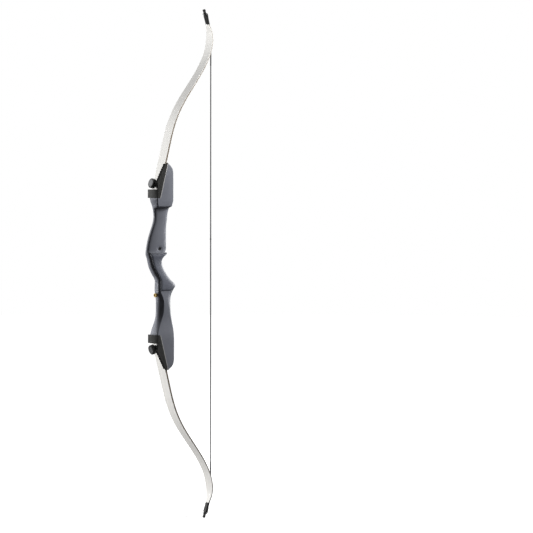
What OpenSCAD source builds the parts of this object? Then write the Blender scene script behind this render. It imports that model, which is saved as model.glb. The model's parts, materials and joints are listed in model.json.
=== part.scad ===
// Takedown recurve bow for a right-handed archer, strung and at rest.
// The target side faces -X and the bowstring lies at +X. +Z runs up along the upper limb.
// The sight window is cut into the side that faces -Y.
// The origin is the deepest point of the grip, where the bow hand's web sits.

/* [Riser] */
// Length of the riser from end to end
riser_len = 636; // [620:1:650]
// Width of the riser at its two end blocks
riser_w = 50; // [49:0.5:56]
// Height of the grip's deepest point above the middle of the bow
grip_rise = 17; // [14:1:22]
// String-side face of the end blocks, measured from the grip's deepest point
block_rear = 30; // [27:0.5:34]
// Target-side face of the riser next to the end blocks
block_front = -30; // [-31.5:0.5:-28]
// Height of the ledge over the sight window above the middle of the bow
ledge_z = 184; // [180:0.5:188]
// String-side face of the riser along the sight window
window_rear = 16.7; // [14:0.1:20]
// Distance from the bow's middle plane to the near face of the sight window
window_near = 5; // [4:0.5:7]
// Distance from the bow's middle plane to the far face of the sight window
window_far = 13; // [12:0.5:15]
// String-side lip of the arrow shelf
lip_rear = 13.5; // [11:0.1:15]
// Height of the arrow shelf above the grip's deepest point
shelf_rise = 26; // [24:0.5:28]
// Thickness of the arrow shelf at its string-side lip
shelf_t = 4.5; // [3.5:0.1:6]
// Distance from the bow's middle plane to the arrow shelf's near edge
shelf_near = 15; // [13:0.5:17]
// Target-side nose of the arrow shelf
shelf_front = -52; // [-56:0.5:-48]
// Target-side face of the riser in front of the heel of the hand
waist_front = -18; // [-21:0.5:-16]
// Size of the bevel along the near edge below the grip
scoop_bevel = 13; // [10:0.5:14]

/* [Grip] */
// Half width of the grip at its deepest point
grip_half_w = 13.5; // [12:0.5:16]
// Reach of the grip's heel towards the string
heel_reach = 48.6; // [44:0.2:54]
// Drop of the grip's heel below its deepest point
heel_drop = 76; // [72:1:80]
// Width of the riser's neck inside the grip
neck_w = 18; // [14:0.5:20]
// Thickness of the grip behind the neck
grip_rear_t = 14; // [10:0.5:16]
// Clearance between the grip and the riser
grip_fit = 0.2; // [0.1:0.05:0.4]
// Diameter of the grip screw
grip_screw_d = 4; // [3:0.5:5]

/* [Limb] */
// Angle of the limb pocket from upright
limb_angle = 14.5; // [13.5:0.1:15.5]
// Width of the limb at the riser
limb_w = 40; // [36:0.5:41]
// Width of the limb where its end taper starts
limb_mid_w = 36; // [30:0.5:38]
// Width of the limb under the tip
limb_tip_w = 10; // [8.5:0.5:11]
// Thickness of the limb in the pocket
limb_t = 7; // [6:0.1:8]
// Thickness of the limb at the tip
limb_tip_t = 3.6; // [3:0.1:4.4]
// Thickness of each glass face of the limb
glass_t = 0.9; // [0.6:0.1:1.1]
// Straight length of the limb outside the bolt
base_len = 120; // [112:1:128]
// Length of the limb's outward bend
bend_len = 201; // [190:1:212]
// Length of the limb's recurve
recurve_len = 210; // [200:1:220]
// Angle of the limb from upright between its two bends
peak_angle = 37; // [35:0.5:39]
// Angle of the limb's tip from upright
tip_angle = -17.5; // [-20:0.5:-15]
// Length of the limb from the bolt to its hidden butt end
butt_len = 35.5; // [34:0.5:36]

/* [Tip] */
// Length of the black tip's sleeve
sleeve_len = 31; // [28:0.5:34]
// Width of the black tip's sleeve
sleeve_w = 14; // [13:0.5:16]
// Thickness of the black tip
sleeve_t = 5.6; // [5:0.1:6.5]
// Width of the waist that the string loop sits round
waist_w = 6.5; // [6:0.5:8]
// Length of the waist
waist_len = 10; // [9:0.5:12]
// Diameter of the round nock end
nock_d = 8.4; // [8:0.2:10]
// Depth of the limb inside the sleeve
tip_socket = 20; // [16:0.5:22]
// Clearance between the limb and the tip
tip_fit = 0.05; // [0.02:0.01:0.1]

/* [Pocket] */
// Distance of the bolt from the riser's end, on the limb's string-side face
bolt_inset = 68.8; // [67:0.1:70]
// Place of the bolt on the limb's string-side face
pocket_x = -8.9; // [-10:0.1:-8]
// Target-side face of the pocket moulding
pocket_front = -32; // [-34:0.5:-30]
// Length of the riser's end that the pocket moulding covers
pocket_len = 108; // [107:0.5:109.5]
// Height of the bridge over the limb's butt
bridge_h = 26; // [24:0.5:28]
// Thickness of the moulding's floor under the limb
floor_t = 3; // [2.4:0.1:4]
// Height of the far cheek beside the limb
far_cheek_h = 3.6; // [3:0.1:4.2]
// Thickness of the far cheek and the bridge's far wall
cheek_t = 4; // [3:0.1:4.2]
// Side clearance between the limb and the pocket
limb_fit = 0.3; // [0.2:0.05:0.5]
// How far the near cheek's outer end stands proud of the limb
cheek_proud = 3.5; // [2:0.5:6]
// Count of ridges along the near cheek's sloping edge
ridges = 8; // [7:1:9]
// Radius of each ridge
ridge_r = 4.4; // [4.2:0.1:4.8]
// How far each ridge stands out of the sloping edge
ridge_h = 2.4; // [2:0.1:2.6]
// Diameter of the countersunk pocket screws
pocket_screw_d = 4; // [3:0.5:5]

/* [Limb bolt] */
// Diameter of the limb bolt
bolt_d = 10; // [8:0.5:10]
// Depth of the bolt below the limb's string-side face
bolt_depth = 22; // [20:0.5:24]
// Radial running clearance between the bolt and its bushes
bolt_fit = 0.05; // [0.02:0.01:0.08]
// Diameter of the knob
knob_d = 30; // [28:0.5:31]
// Height of the knob's ribbed rim
knob_h = 12; // [10:0.5:14]
// Diameter of the collar under the knob
collar_d = 18; // [16:0.5:20]
// Height of the collar under the knob
collar_h = 8; // [6:0.5:9]
// Count of grooves round the knob
knob_grooves = 16; // [12:1:20]
// Diameter of the cap in the knob's face
cap_d = 21; // [20:0.5:23]
// Thickness of the cap
cap_t = 1.6; // [1.2:0.1:2]
// Diameter of the bolt's washer
washer_d = 22; // [20:0.5:25]
// Thickness of the bolt's washer
washer_t = 2; // [1.5:0.1:2.5]
// Outer diameter of the threaded insert in the riser
insert_d = 16; // [14.5:0.5:18]
// Gap between the washer and the faces on either side of it
washer_gap = 0.1; // [0.05:0.05:0.3]
// Diameter of the locating pin by the limb's butt
pin_d = 6; // [5:0.5:8]

/* [Bushings] */
// Inner diameter of the plunger and stabiliser bushings
bush_bore_d = 6.9; // [6:0.1:8]
// Outer diameter of the plunger bushing
plunger_d = 10; // [9.5:0.5:12]
// Height of the plunger hole above the arrow shelf
plunger_rise = 11; // [9:0.5:14]
// Place of the plunger hole along the riser's depth
plunger_x = -7.8; // [-12:0.1:-4]
// Outer diameter of the stabiliser bushing
stab_d = 10.4; // [10:0.2:12]
// Diameter of the stabiliser bushing's collar
stab_collar_d = 12; // [11.6:0.2:14]
// How far the stabiliser bushing's collar stands out of the riser
stab_collar_h = 7; // [4:0.5:8]
// Depth of the stabiliser bushing in the riser
stab_depth = 24; // [18:1:27]
// Height of the stabiliser bushing above the middle of the bow
stab_z = -88.4; // [-92:0.2:-85]
// Inner diameter of the sight bushings
sight_bore_d = 3.9; // [3.5:0.1:4.5]
// Outer diameter of the sight bushings
sight_d = 7; // [6.5:0.5:9]
// Length of the sight bushings
sight_len = 11; // [8:0.5:13]
// Distance between the two sight bushings
sight_pitch = 33.3; // [30:0.1:36]
// Height of the lower sight bushing above the arrow shelf
sight_rise = 67; // [60:1:75]

/* [String] */
// Diameter of the bowstring
string_d = 3.4; // [2.8:0.1:3.6]
// Diameter of the string's end loops
loop_d = 3.2; // [2.6:0.1:3.6]
// Gap between the string and what it lies on
string_gap = 0.2; // [0.15:0.05:0.3]
// Thickness of the thread served over the string
serving_t = 0.4; // [0.3:0.1:0.6]
// Length of the centre serving
serving_len = 190; // [170:1:200]
// Height of the centre serving's top above the grip's deepest point
serving_top = 123; // [118:1:128]
// Length of each end serving
end_serving_len = 80; // [60:1:110]
// Outer diameter of the nocking point's wound ring
nocking_d = 5.4; // [5.2:0.1:6]
// Length of the nocking point's ring
nocking_len = 4; // [3:0.5:5]
// Height of the nocking point above the plunger hole's axis
nocking_rise = 8; // [5:0.5:12]

/* [Hidden] */
$fn = 48;

// Colours
riser_grey = [0.25, 0.27, 0.31];
moulding_black = [0.09, 0.09, 0.09];
glass_white = [0.9, 0.9, 0.88];
wood_tan = [0.62, 0.5, 0.36];
string_grey = [0.24, 0.24, 0.25];
brass = [0.78, 0.6, 0.25];
steel = [0.7, 0.71, 0.73];

// Size of the solids that cut others, larger than anything that they cut
big = 200;
// Overlap that lets one cut run cleanly through a face
nick = 0.5;

half_len = riser_len / 2;
// Heights of the bolt and of the pocket moulding's inner end above the middle of the bow
pocket_z = half_len - bolt_inset;
pocket_in_z = half_len - pocket_len;
half_w = riser_w / 2;
shelf_z = grip_rise + shelf_rise;
lip_z = shelf_z - shelf_t;
heel_z = grip_rise - heel_drop;
// Depth over which the sight window's top ledge slopes in
ledge_slope = 5;
// Depth over which the shelf's top edge rounds over
shelf_edge = 0.8;

// Smooth lines along the riser, each a list of [height, value] with heights that rise

// String-side line
rear_line = [
    [-half_len, block_rear - 18], [-half_len + 8, block_rear - 8], [-half_len + 19, block_rear],
    [-half_len + 32, block_rear + 2.5], [-205, block_rear + 3], [-190, block_rear + 2.8],
    [-163, block_rear - 0.4],
    [-134, block_rear - 3.8], [-108, block_rear - 2.7], [heel_z - 30, heel_reach - 17],
    [heel_z - 13, heel_reach - 8], [heel_z, heel_reach], [heel_z + 17, heel_reach - 17],
    [heel_z + 30, heel_reach - 28], [grip_rise - 27, 8.5], [grip_rise - 12, 1.8],
    [grip_rise, 0], [grip_rise + 8, 2.6], [lip_z - 7.5, 7.6], [lip_z - 4, lip_rear - 2],
    [lip_z, lip_rear], [shelf_z, lip_rear], [shelf_z + 5, window_rear],
    [112, window_rear], [130, window_rear + 1.6], [142, window_rear + 3.6],
    [154, window_rear + 4.6], [166, window_rear + 6.8], [172, window_rear + 8.6],
    [ledge_z - 6, window_rear + 11], [ledge_z + 1, block_rear - 0.5], [205, block_rear + 0.5],
    [half_len - 34, block_rear], [half_len - 20, block_rear - 2],
    [half_len - 9, block_rear - 10.5], [half_len, block_rear - 19]
];
// Target-side line
front_line = [
    [-half_len, block_front], [-212, block_front], [-204, block_front + 2],
    [-185, block_front + 7], [-163, waist_front + 0.5], [-134, waist_front + 3.5],
    [-104, waist_front + 4], [-76, waist_front + 0.5], [-45, waist_front + 1.5],
    [-23, waist_front - 11], [-0.6, shelf_front + 11.5], [lip_z - 12, shelf_front + 4],
    [lip_z, shelf_front], [shelf_z, shelf_front], [60, shelf_front + 2.6],
    [75, shelf_front + 5.7], [106, shelf_front + 15.6], [134, shelf_front + 26],
    [154, shelf_front + 29], [168, block_front + 5], [ledge_z - 2, block_front + 3],
    [195, block_front + 1], [211, block_front], [half_len, block_front]
];
// Distance of the near side from the middle plane
near_line = [
    [-half_len, half_w], [-214, half_w], [-205, half_w - 1.5], [-190, half_w - 4.5],
    [-165, half_w - 6.5], [-134, half_w - 5.5], [-110, half_w - 4.8],
    [-85, grip_half_w + 4.5], [heel_z, grip_half_w + 3.5], [grip_rise - 37, grip_half_w + 1.5],
    [grip_rise, grip_half_w], [lip_z, shelf_near - 0.5], [shelf_z - shelf_edge, shelf_near],
    [shelf_z, window_near], [ledge_z - ledge_slope, window_near], [ledge_z, half_w - 1],
    [205, half_w], [half_len, half_w]
];
// Distance of the far side from the middle plane
far_line = [
    [-half_len, half_w], [-205, half_w], [-175, half_w - 7], [-149, window_far],
    [-110, window_far + 1], [-85, grip_half_w + 1.5], [heel_z, grip_half_w + 2.5],
    [grip_rise - 37, grip_half_w + 1.5], [grip_rise, grip_half_w], [lip_z, window_far],
    [170, window_far], [185, window_far + 2], [205, half_w], [half_len, half_w]
];
// Bevel between the near side and the target side
near_bevel = [
    [-half_len, 2.5], [-214, 2.5], [-205, 3], [-190, 4], [-163, 0.65 * scoop_bevel],
    [-134, scoop_bevel], [-108, 0.95 * scoop_bevel], [-92, 0.8 * scoop_bevel], [-76, 6],
    [grip_rise - 37, 7], [lip_z, 6], [shelf_z - shelf_edge, 3], [shelf_z, 2.5], [160, 3],
    [ledge_z, 3.5], [205, 2.5], [half_len, 2.5]
];
// How many times wider than deep that bevel is
near_bevel_spread = [
    [-half_len, 1], [-214, 1.4], [-205, 2.2], [-190, 2.4], [-163, 1.7], [-134, 1.15],
    [-108, 1.25], [-92, 1], [half_len, 1]
];
// Bevel between the far side and the target side
far_bevel = [
    [-half_len, 3], [-235, 3], [-209, 10], [-180, 8], [-150, 7], [heel_z, 7], [lip_z, 6],
    [120, 6], [ledge_z, 8], [209, 10], [235, 3], [half_len, 3]
];
// Rounding between the sides and the string side
rear_round = [
    [-half_len, 1.5], [-200, 2], [-163, 5], [-134, 8], [-108, 11], [heel_z, 12],
    [grip_rise - 37, 12.5], [lip_z - 7.5, 9], [lip_z, 3], [shelf_z, 2.5], [160, 3],
    [ledge_z - ledge_slope, 4], [ledge_z, 11], [198, 4], [210, 2], [half_len, 1.5]
];
// How many times wider than deep that rounding is on the near side
near_rear_spread = [
    [-half_len, 1], [-140, 1], [-115, 1.35], [-88, 2], [heel_z, 1.6], [grip_rise - 37, 1.5],
    [lip_z - 7.5, 1.3], [lip_z, 1], [half_len, 1]
];
// Heights where the rings are placed, and the count of steps up to the next height
ring_steps = [
    [-half_len, 5], [-half_len + 20, 2], [-half_len + 40, 4], [-205, 7], [-134, 5], [-85, 5],
    [heel_z, 5], [grip_rise - 37, 4], [grip_rise - 12, 4], [lip_z - 9, 3], [lip_z, 1],
    [shelf_z - shelf_edge, 1], [shelf_z, 8], [134, 5], [ledge_z - ledge_slope, 2], [ledge_z, 3],
    [205, 4], [half_len - 40, 2], [half_len - 20, 5], [half_len, 0]
];

// Slope of a line between two of its points
function secant(line, i) =
    (line[i + 1][1] - line[i][1]) / (line[i + 1][0] - line[i][0]);
// Slope at a point, flat where the line turns, so that the curve never overshoots
function slope_at(line, i) =
    i == 0 || i == len(line) - 1 ? 0
    : secant(line, i - 1) * secant(line, i) <= 0 ? 0
    : 2 * secant(line, i - 1) * secant(line, i) / (secant(line, i - 1) + secant(line, i));
// The stretch of a line that holds a height
function stretch_of(line, z) =
    let (below = [for (i = [0:len(line) - 2]) if (line[i][0] <= z) i])
    len(below) == 0 ? 0 : below[len(below) - 1];
// Value of a smooth line at a height
function along(line, z) =
    let (
        i = stretch_of(line, z),
        step = line[i + 1][0] - line[i][0],
        t = min(1, max(0, (z - line[i][0]) / step)),
        rise = line[i + 1][1] - line[i][1],
        m0 = slope_at(line, i) * step,
        m1 = slope_at(line, i + 1) * step
    )
    line[i][1] + m0 * t + (3 * rise - 2 * m0 - m1) * t ^ 2 + (m0 + m1 - 2 * rise) * t ^ 3;

ring_heights = [
    for (k = [0:len(ring_steps) - 1])
        if (ring_steps[k][1] == 0) ring_steps[k][0]
        else for (j = [0:ring_steps[k][1] - 1])
            ring_steps[k][0] + j * (ring_steps[k + 1][0] - ring_steps[k][0]) / ring_steps[k][1]
];
// Points in each corner of a ring
corner_points = 4;
// A corner of the ring, from a straight bevel at 0 to a quarter circle at 1
function corner(p, u, v, size, round) = [
    for (k = [0:corner_points - 1])
        let (
            t = k / (corner_points - 1),
            a = 90 * t,
            along_u = (1 - t) * (1 - round) + (1 - sin(a)) * round,
            along_v = t * (1 - round) + (1 - cos(a)) * round
        )
        p + size * (along_u * u + along_v * v)
];
function ring(z) =
    let (
        front = along(front_line, z),
        rear = along(rear_line, z),
        near = -along(near_line, z),
        far = along(far_line, z),
        widest = 0.49 * min(far - near, rear - front),
        nb = min(along(near_bevel, z), widest),
        fb = min(along(far_bevel, z), widest),
        rr = min(along(rear_round, z), widest)
    )
    [
        for (q = concat(
            corner([front, near], [0, along(near_bevel_spread, z)], [1, 0], nb, 0.25),
            corner([rear, near], [-along(near_rear_spread, z), 0], [0, 1], rr, 1),
            corner([rear, far], [0, -1], [-1, 0], rr, 1),
            corner([front, far], [1, 0], [0, -1], fb, 0.25)
        )) [q[0], q[1], z]
    ];

// A solid through a list of rings that all have the same count of points
module loft(rings, closed = false) {
    n = len(rings[0]);
    m = len(rings);
    last = closed ? m - 1 : m - 2;
    sides = [
        for (i = [0:last], j = [0:n - 1])
            let (a = i * n + j, b = i * n + (j + 1) % n, c = ((i + 1) % m) * n)
            each [[a, c + j, b], [b, c + j, c + (j + 1) % n]]
    ];
    ends = closed ? [] : [[for (j = [0:n - 1]) j], [for (j = [n - 1:-1:0]) (m - 1) * n + j]];
    polyhedron(points = [for (r = rings) each r], faces = concat(sides, ends), convexity = 8);
}

// Moves a shape from the bow's middle to the origin in the grip
module placed() {
    translate([0, 0, -grip_rise]) children();
}
// The lower half is the upper half turned over
module lower() {
    mirror([0, 0, 1]) children();
}
// An outline drawn in X and Z, as a slab from one Y to another
module slab(y0, y1) {
    translate([0, y1, 0]) rotate([90, 0, 0]) linear_extrude(height = y1 - y0) children();
}
// The upper pocket's own frame: -X out of the limb's target side, +Z along the limb
module at_pocket() {
    translate([pocket_x, 0, pocket_z]) rotate([0, limb_angle, 0]) children();
}
// A round solid on the bolt's axis, from one depth to another
module on_bolt(x0, x1, d, fn = 48) {
    translate([x0, 0, 0]) rotate([0, 90, 0]) cylinder(d = d, h = x1 - x0, $fn = fn);
}

// Limb

// How late in the recurve most of the turn comes
recurve_power = 2.4;
// Share of the recurve's length where the limb runs straight up
upright_share = (peak_angle / (peak_angle - tip_angle)) ^ (1 / recurve_power);
recurve_start = base_len + bend_len;
upright_s = recurve_start + upright_share * recurve_len;
sleeve_s = recurve_start + recurve_len + 10.5;
limb_end_s = sleeve_s + tip_socket;
tip_end_s = sleeve_s + sleeve_len + waist_len + nock_d;
// Length of the limb's end taper
taper_len = 58;
taper_s = sleeve_s - taper_len;
// Distance before the sleeve where the string parts into the loop's two legs
part_len = 8;
string_end_s = sleeve_s - part_len - 0.1;
// Clearance round the bolt and the locating pin in the limb
hole_fit = 0.5;

// Angle of the limb from upright at a length past the bolt
function limb_turn(s) =
    s <= base_len ? limb_angle
    : s <= recurve_start
        ? limb_angle + (peak_angle - limb_angle) * (1 - cos(180 * (s - base_len) / bend_len)) / 2
    : s <= recurve_start + recurve_len
        ? peak_angle - (peak_angle - tip_angle) * ((s - recurve_start) / recurve_len) ^ recurve_power
    : tip_angle;
// Thickness of the limb at a length past the bolt
function limb_thick(s) =
    s <= base_len / 2 ? limb_t
    : limb_t + (limb_tip_t - limb_t) * min(1, (s - base_len / 2) / (taper_s - base_len / 2));
// Width of the limb at a length past the bolt
function limb_wide(s) =
    s <= base_len ? limb_w
    : s <= taper_s ? limb_w + (limb_mid_w - limb_w) * (s - base_len) / (taper_s - base_len)
    : s <= sleeve_s
        ? sleeve_w + 1 + (limb_mid_w - sleeve_w - 1) * (1 - ((s - taper_s) / taper_len) ^ 1.6)
    : limb_tip_w;

function steps(a, b, n) = [for (i = [0:n - 1]) a + (b - a) * i / n];
// Places along the limb where its lines have points
limb_lengths = concat(
    [-butt_len, base_len / 2],
    steps(base_len, recurve_start, 12),
    steps(recurve_start, taper_s, 11),
    steps(taper_s, upright_s, 3),
    steps(upright_s, string_end_s, 4),
    [string_end_s, sleeve_s, limb_end_s]
);
// Which of these places is the string's first touch, its end, and the sleeve's start
upright_i = 2 + 12 + 11 + 3;
string_end_i = upright_i + 4;
sleeve_i = string_end_i + 1;
pocket_normal = [-cos(limb_angle), sin(limb_angle)];
// Middle of the limb's thickness: [x, z, length past the bolt]
limb_middle = [
    for (
        i = 0, p = [pocket_x, pocket_z] + pocket_normal * limb_t / 2
            - butt_len * [sin(limb_angle), cos(limb_angle)];
        i < len(limb_lengths);
        ds = i + 1 < len(limb_lengths) ? limb_lengths[i + 1] - limb_lengths[i] : 0,
        turn = limb_turn(limb_lengths[i] + ds / 2),
        p = p + ds * [sin(turn), cos(turn)],
        i = i + 1
    ) [p[0], p[1], limb_lengths[i]]
];
// A line that follows the limb, at a height over its middle towards the target
function limb_line(shares, extra = 0) = [
    for (m = limb_middle)
        let (a = limb_turn(m[2]), off = shares * limb_thick(m[2]) / 2 + extra)
        [m[0] - cos(a) * off, m[1] + sin(a) * off]
];
function backwards(list) = [for (i = [len(list) - 1:-1:0]) list[i]];

// Outline of the limb seen from the target side, as a prism
module limb_front(slack = 0) {
    edge = [for (m = limb_middle) [limb_wide(m[2]) / 2, m[1]]];
    shoulder_z = limb_middle[sleeve_i][1] - limb_tip_t * sin(abs(tip_angle)) / 2 - tip_fit;
    shoulder = [
        [limb_wide(sleeve_s) / 2, shoulder_z],
        [limb_tip_w / 2, shoulder_z],
        [limb_tip_w / 2, limb_middle[sleeve_i + 1][1] + sleeve_t]
    ];
    start = [[limb_w / 2, limb_middle[0][1] - 10]];
    side = concat(start, [for (i = [1:sleeve_i - 1]) edge[i]], shoulder);
    outline = concat(side, backwards([for (p = side) [-p[0], p[1]]]));
    translate([-big / 2, 0, 0]) rotate([90, 0, 90]) linear_extrude(height = 2 * big)
        polygon(outline);
}
// One layer of the limb between two of the lines that follow it
module limb_layer(low, high) {
    difference() {
        intersection() {
            slab(-limb_w, limb_w) polygon(concat(low, backwards(high)));
            limb_front();
        }
        at_pocket() {
            on_bolt(-limb_t - 2, 2, bolt_d + 2 * hole_fit);
            translate([0, 0, pin_s]) on_bolt(-limb_t - 2, 2, pin_d + 2 * pin_hole_fit);
        }
    }
}
module limb_core() {
    color(wood_tan)
        limb_layer(limb_line(-1, glass_t), limb_line(1, -glass_t));
}
module limb_back_glass() {
    color(glass_white)
        limb_layer(limb_line(1, -glass_t), limb_line(1));
}
module limb_belly_glass() {
    color(glass_white)
        limb_layer(limb_line(-1), limb_line(-1, glass_t));
}

// The tip's own frame: +Z along the limb from the sleeve's start, -X towards the target
module at_tip() {
    translate([limb_middle[sleeve_i][0], 0, limb_middle[sleeve_i][1]])
        rotate([0, tip_angle, 0]) children();
}
nock_z = sleeve_len + waist_len + nock_d / 2 - 1;
module limb_tip() {
    color(moulding_black) difference() {
        at_tip() translate([-sleeve_t / 2, 0, 0]) rotate([90, 0, 90])
            linear_extrude(height = sleeve_t) {
                translate([-sleeve_w / 2, 0]) square([sleeve_w, sleeve_len - 3]);
                for (side = [-1, 1])
                    translate([side * (sleeve_w / 2 - 3), sleeve_len - 3]) circle(r = 3);
                translate([3 - sleeve_w / 2, 0]) square([sleeve_w - 6, sleeve_len]);
                translate([-waist_w / 2, 0]) square([waist_w, nock_z]);
                translate([0, nock_z]) circle(d = nock_d);
            }
        at_tip() translate([-limb_tip_t / 2 - tip_fit, -limb_tip_w / 2 - tip_fit, -1])
            cube([limb_tip_t + 2 * tip_fit, limb_tip_w + 2 * tip_fit, tip_socket + 1 + tip_fit]);
    }
}

// Pocket

// Place of the limb's string-side face at a height above the middle of the bow
function seat_x(z) = pocket_x + (z - pocket_z) * tan(limb_angle);
// How far the cheeks reach past that face
cheek_sink = 0.6;
function cheek_x(z) = seat_x(z) + cheek_sink / cos(limb_angle);
slot_w = limb_w + 2 * limb_fit;
far_wall = slot_w / 2 + cheek_t;
pocket_end_z = half_len - 3;
slope_start_z = pocket_z + 8.7;
tip_x = seat_x(pocket_end_z) - limb_t - cheek_proud;
// Place of the locating pin along the limb, under the bridge
pin_s = -25;
pin_hole_fit = 0.2;
// Depth of the locating pin in the riser
pin_depth = 9;
// Places of the two pocket screws along the limb
screw_places = [22, 52];
screw_len = 14;
// How far a screw's flat head lies below the limb's seat
screw_drop = 0.05;
// Clearance of a screw or bush that sits still in its hole
seat_fit = 0.02;
floor_w = slot_w + 6;
floor_start = -butt_len - 2.5;
floor_end = (half_len - pocket_z) / cos(limb_angle) - 10;

module pocket_profile() {
    slope = [tip_x - pocket_front, pocket_end_z - slope_start_z];
    run = norm(slope);
    polygon([
        [cheek_x(pocket_in_z), pocket_in_z], [pocket_front, pocket_in_z],
        [pocket_front, slope_start_z], [tip_x, pocket_end_z],
        [cheek_x(pocket_end_z), pocket_end_z]
    ]);
    for (k = [0:ridges - 1])
        translate([pocket_front, slope_start_z] + slope * (k + 0.5) / ridges
            + [slope[1], -slope[0]] / run * (ridge_r - ridge_h)) circle(r = ridge_r, $fn = 24);
}
// Bevel of the near cheek, deep by across
cheek_bevel = [6, 14];
// The same bevel along the ridges
ridge_bevel = 4;
// A ring of the prism that cuts the bevel, where the target-side face is at front
function bevel_ring(z, front, deep, across) =
    let (past = 3)
    [
        [front - past, -half_w + across * (1 + past / deep), z],
        [front - past, -half_w - past, z],
        [front + deep * (1 + past / across), -half_w - past, z]
    ];
module near_cheek_bevel() {
    out = ridge_bevel / 2;
    lean = (tip_x - pocket_front) / (pocket_end_z - slope_start_z);
    loft([
        bevel_ring(pocket_in_z - 1, pocket_front, cheek_bevel[0], cheek_bevel[1]),
        bevel_ring(pocket_in_z + bridge_h, pocket_front, cheek_bevel[0], cheek_bevel[1]),
        bevel_ring(slope_start_z, pocket_front - out, ridge_bevel, ridge_bevel),
        bevel_ring(pocket_end_z + 1, tip_x - out + lean, ridge_bevel, ridge_bevel)
    ]);
}
// Extra room beside the near cheek above the limb
cheek_relief = 0.4;
// What leaves only the bridge and a low far cheek beyond the near cheek
module beyond_near_cheek() {
    bridge_z = pocket_in_z + bridge_h;
    top = pocket_end_z + 5;
    slab(-slot_w / 2 - cheek_relief, half_w + 5) polygon([
        [pocket_front - 10, bridge_z], [pocket_front - 10, top],
        [seat_x(top) - far_cheek_h, top], [seat_x(bridge_z) - far_cheek_h, bridge_z]
    ]);
}
module limb_pocket() {
    color(moulding_black) difference() {
        union() {
            difference() {
                slab(-half_w, far_wall) pocket_profile();
                beyond_near_cheek();
                near_cheek_bevel();
            }
            at_pocket() translate([-1, -floor_w / 2, floor_start])
                cube([floor_t + 1, floor_w, floor_end - floor_start]);
        }
        at_pocket() {
            translate([-limb_t - limb_fit, -slot_w / 2, -butt_len - limb_fit])
                cube([limb_t + limb_fit, slot_w, big]);
            on_bolt(-limb_t, floor_t + nick, bolt_d + 2 * hole_fit);
            translate([0, 0, pin_s])
                on_bolt(-nick, floor_t + nick, pin_d + 2 * seat_fit);
            for (s = screw_places) translate([0, 0, s]) {
                on_bolt(-nick, floor_t + nick, pocket_screw_d + 2 * seat_fit);
                translate([screw_drop - seat_fit, 0, 0])
                    screw_head(pocket_screw_d + 2 * seat_fit, nick);
            }
        }
    }
}
// A countersunk head whose flat top lies at x = 0, with a straight stretch above it
module screw_head(d, above = 0) {
    rotate([0, 90, 0]) rotate_extrude($fn = 48)
        polygon([
            [0, -above], [d, -above], [d, 0.2], [d / 2, 0.2 + d / 2], [0, 0.2 + d / 2]
        ]);
}
module screw(d, length) {
    screw_head(d);
    on_bolt(0.1, length, d);
}
module pocket_screws() {
    color(steel) at_pocket()
        for (s = screw_places) translate([screw_drop, 0, s]) screw(pocket_screw_d, screw_len);
}
module locating_pin() {
    color(steel) at_pocket() translate([0, 0, pin_s])
        on_bolt(-limb_t + 1, pin_depth, pin_d);
}

// Limb bolt, in the pocket's frame

// Outward face of the limb, and each face that stacks on it
washer_x = -limb_t - washer_gap;
collar_x = washer_x - washer_t - washer_gap;
knob_x = collar_x - collar_h;
face_x = knob_x - knob_h;
cap_recess = cap_t - 0.4;
head_h = 6.4;
head_af = 1.6 * bolt_d;
// Floor of the knob's hollow for the bolt's head, seen from the face
head_x = face_x + cap_recess + head_h;
insert_start = floor_t + 0.2;

module bolt_insert() {
    color(brass) at_pocket() difference() {
        on_bolt(insert_start, bolt_depth, insert_d);
        on_bolt(insert_start - 1, bolt_depth + 1, bolt_d + 2 * bolt_fit);
    }
}
module limb_bolt() {
    color(steel) at_pocket() {
        on_bolt(head_x - nick, bolt_depth - 1, bolt_d);
        on_bolt(head_x - head_h + 0.1, head_x, 2 * head_af / sqrt(3), 6);
    }
}
module knob() {
    color(moulding_black) at_pocket() difference() {
        union() {
            on_bolt(knob_x - nick, collar_x, collar_d);
            on_bolt(face_x + 1, knob_x, knob_d);
            on_bolt(face_x, face_x + 2, knob_d - 3);
        }
        on_bolt(face_x - 1, face_x + cap_recess, cap_d + 2 * seat_fit);
        on_bolt(face_x, head_x, 2 * (head_af + 2 * seat_fit) / sqrt(3), 6);
        on_bolt(head_x - 1, collar_x + 1, bolt_d + 2 * seat_fit);
        for (k = [0:knob_grooves - 1])
            rotate([360 * k / knob_grooves, 0, 0]) translate([0, 0, knob_d / 2 + 0.8])
                on_bolt(face_x - 1, knob_x + 1, 4, 24);
    }
}
module knob_cap() {
    color([0.45, 0.46, 0.48]) at_pocket()
        on_bolt(face_x + cap_recess - cap_t, face_x + cap_recess, cap_d);
}
module bolt_washer() {
    color(steel) at_pocket() difference() {
        on_bolt(washer_x - washer_t, washer_x, washer_d);
        on_bolt(washer_x - washer_t - 1, washer_x + 1, bolt_d + 2 * bolt_fit);
    }
}

// Riser

module riser_body() {
    loft([for (z = ring_heights) ring(z)]);
}
// What the upper pocket, its bolt, pin and screws take out of the riser
module pocket_room() {
    intersection() {
        at_pocket() translate([cheek_sink - big, -big / 2, -big]) cube([big, big, 2 * big]);
        translate([-big, -big, pocket_in_z]) cube([2 * big, 2 * big, big]);
    }
    at_pocket() {
        translate([-nick, -floor_w / 2 - seat_fit, floor_start - seat_fit])
            cube([floor_t + nick + seat_fit, floor_w + 2 * seat_fit,
                floor_end - floor_start + 2 * seat_fit]);
        on_bolt(0, bolt_depth + seat_fit, insert_d + 2 * seat_fit);
        translate([0, 0, pin_s]) on_bolt(0, pin_depth + seat_fit, pin_d + 2 * seat_fit);
        for (s = screw_places) translate([0, 0, s])
            on_bolt(0, screw_len + 1, pocket_screw_d + 2 * seat_fit);
    }
}
// Heights that trace the grip's outline
grip_bottom_z = heel_z - 17;
grip_heights = [for (i = [0:16]) grip_bottom_z + (lip_z - grip_bottom_z) * i / 16];
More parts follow.
